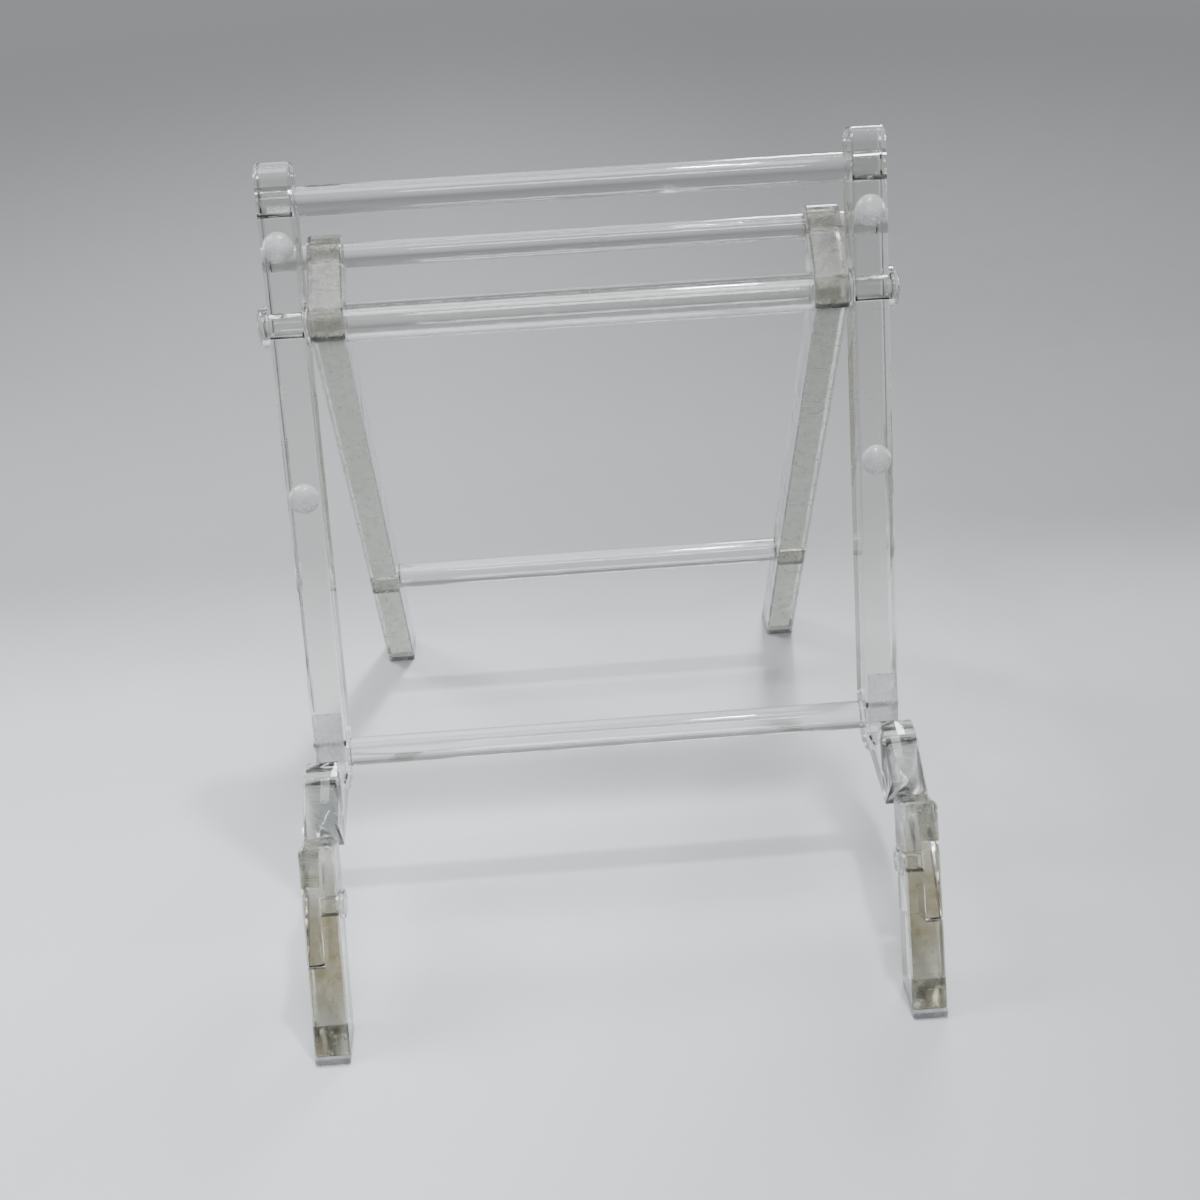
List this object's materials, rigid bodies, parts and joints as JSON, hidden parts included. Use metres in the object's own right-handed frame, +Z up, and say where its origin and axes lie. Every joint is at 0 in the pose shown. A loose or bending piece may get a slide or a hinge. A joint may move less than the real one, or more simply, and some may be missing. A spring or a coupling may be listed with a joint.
{
  "type": "plate display stand",
  "caption": "Folding clear acrylic plate stand with two lipped side arms, pinned front legs and a hinged rear leg frame.",
  "frame": {"origin": "on the surface the stand rests on, at the middle of its outer box", "axes": "+Z up, +X across the stand to the right as seen from its front, +Y from the front lips towards the rear legs"},
  "size_m": [0.15, 0.1772, 0.1739],
  "materials": {
    "acrylic_bar": "clear cast acrylic with flame-polished edges",
    "acrylic_leg": "clear cast acrylic with fine milling marks left on its cut edges",
    "acrylic_rod": "clear extruded acrylic rod",
    "silicone_pad": "clear soft silicone, satin"
  },
  "bodies": {
    "cradle": {"arm_right": "acrylic_bar", "arm_left": "acrylic_bar", "seat_rod": "acrylic_rod", "top_rod": "acrylic_rod", "pivot_rod": "acrylic_rod", "pivot_caps": "acrylic_rod", "pivot_washers": "acrylic_rod", "pivot_sleeve": "acrylic_rod", "front_pin_right": "acrylic_rod", "front_pin_left": "acrylic_rod", "front_pin_caps": "acrylic_rod", "rim_pad_right": "silicone_pad", "rim_pad_left": "silicone_pad", "back_bumpers_right": "silicone_pad", "back_bumpers_left": "silicone_pad"},
    "right_front_leg": {"front_leg_right": "acrylic_leg", "front_foot_right": "silicone_pad"},
    "left_front_leg": {"front_leg_left": "acrylic_leg", "front_foot_left": "silicone_pad"},
    "rear_leg_frame": {"rear_leg_right": "acrylic_leg", "rear_leg_left": "acrylic_leg", "rear_foot_right": "silicone_pad", "rear_foot_left": "silicone_pad", "rear_cross_rod": "acrylic_rod", "stop_rod": "acrylic_rod"}
  },
  "joints": [
    {"name": "right_front_leg_fold", "type": "hinge", "parent": "cradle", "child": "right_front_leg", "pos_m": [0.068, -0.06839, 0.03], "axis": [1, 0, 0], "range_deg": [0, 90]},
    {"name": "left_front_leg_fold", "type": "hinge", "parent": "cradle", "child": "left_front_leg", "pos_m": [-0.068, -0.06839, 0.03], "axis": [1, 0, 0], "range_deg": [0, 90]},
    {"name": "rear_leg_fold", "type": "hinge", "parent": "cradle", "child": "rear_leg_frame", "pos_m": [0, 0.01094, 0.13792], "axis": [-1, 0, 0], "range_deg": [0, 40]}
  ]
}
